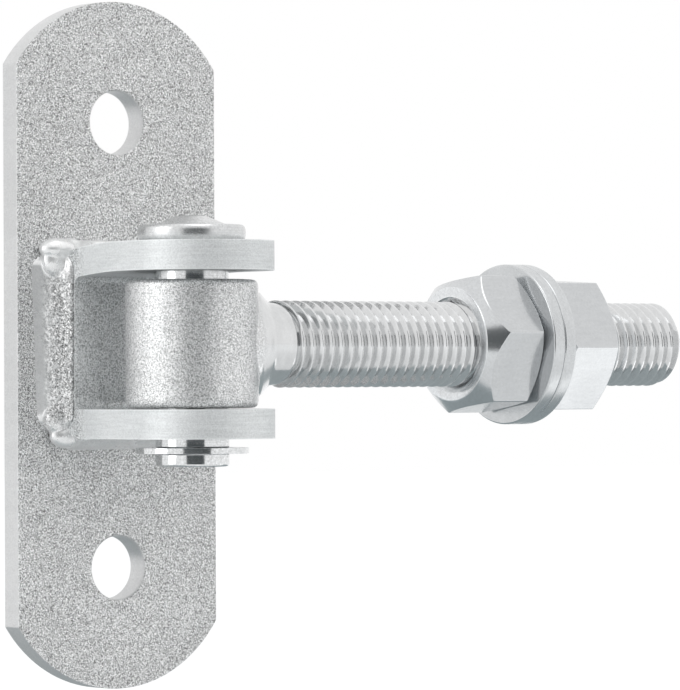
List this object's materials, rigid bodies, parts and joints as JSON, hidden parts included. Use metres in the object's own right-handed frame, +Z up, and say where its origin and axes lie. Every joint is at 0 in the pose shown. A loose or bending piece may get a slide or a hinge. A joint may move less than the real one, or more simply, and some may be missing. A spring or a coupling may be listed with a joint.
{
  "type": "adjustable gate hinge",
  "caption": "Adjustable gate hinge: arched wall plate with a welded clevis, a loose pin held by a snap ring, and a threaded eye bolt with clamping nuts and washers.",
  "frame": {"origin": "middle of the wall plate's back face, level with the bolt's axis", "axes": "+X along the eye bolt towards its tip, +Y into the post, +Z up along the hinge pin"},
  "size_m": [0.151, 0.049, 0.142],
  "materials": {
    "plate_zinc": "grainy bright zinc plating",
    "bar_zinc": "satin zinc plating",
    "weld_zinc": "rough bright zinc plating over rippled weld",
    "pin_zinc": "bright turned zinc plating",
    "eye_zinc": "bright zinc plating over a forged eye and rolled thread",
    "nut_zinc": "satin bluish zinc plating",
    "washer_zinc": "satin bluish zinc plating"
  },
  "bodies": {
    "bracket": {"mounting_plate": "plate_zinc", "clevis_bracket": "bar_zinc", "weld_bead_left": "weld_zinc", "weld_bead_right": "weld_zinc", "weld_bead_top": "weld_zinc", "weld_bead_bottom": "weld_zinc"},
    "pin": {"hinge_pin": "pin_zinc", "retaining_ring": "pin_zinc"},
    "eye_bolt": {"eye_bolt": "eye_zinc"},
    "inner_washer": {"inner_washer": "washer_zinc"},
    "inner_nut": {"inner_nut": "nut_zinc"},
    "outer_washer": {"outer_washer": "washer_zinc"},
    "outer_nut": {"outer_nut": "nut_zinc"}
  },
  "joints": [
    {"name": "pin_turn", "type": "hinge", "parent": "bracket", "child": "pin", "pos_m": [0, -0.031, 0], "axis": [0, 0, 1], "continuous": true},
    {"name": "gate_swing", "type": "hinge", "parent": "bracket", "child": "eye_bolt", "pos_m": [0, -0.031, 0], "axis": [0, 0, -1], "range_deg": [0, 180]},
    {"name": "inner_washer_slide", "type": "slide", "parent": "eye_bolt", "child": "inner_washer", "axis": [1, 0, 0], "range_m": [-0.0401, 0]},
    {"name": "inner_nut_turn", "type": "hinge", "parent": "inner_washer", "child": "inner_nut", "pos_m": [0.0747, -0.031, 0], "axis": [1, 0, 0], "range_deg": [-5760, 0]},
    {"name": "outer_washer_slide", "type": "slide", "parent": "eye_bolt", "child": "outer_washer", "axis": [1, 0, 0], "range_m": [0, 0.0201]},
    {"name": "outer_nut_turn", "type": "hinge", "parent": "outer_washer", "child": "outer_nut", "pos_m": [0.0952, -0.031, 0], "axis": [1, 0, 0], "range_deg": [0, 2880]}
  ],
  "couplings": [
    {"joint": "inner_washer_slide", "follows": "inner_nut_turn", "m_per_rad": 0.00039789},
    {"joint": "outer_washer_slide", "follows": "outer_nut_turn", "m_per_rad": 0.00039789}
  ]
}
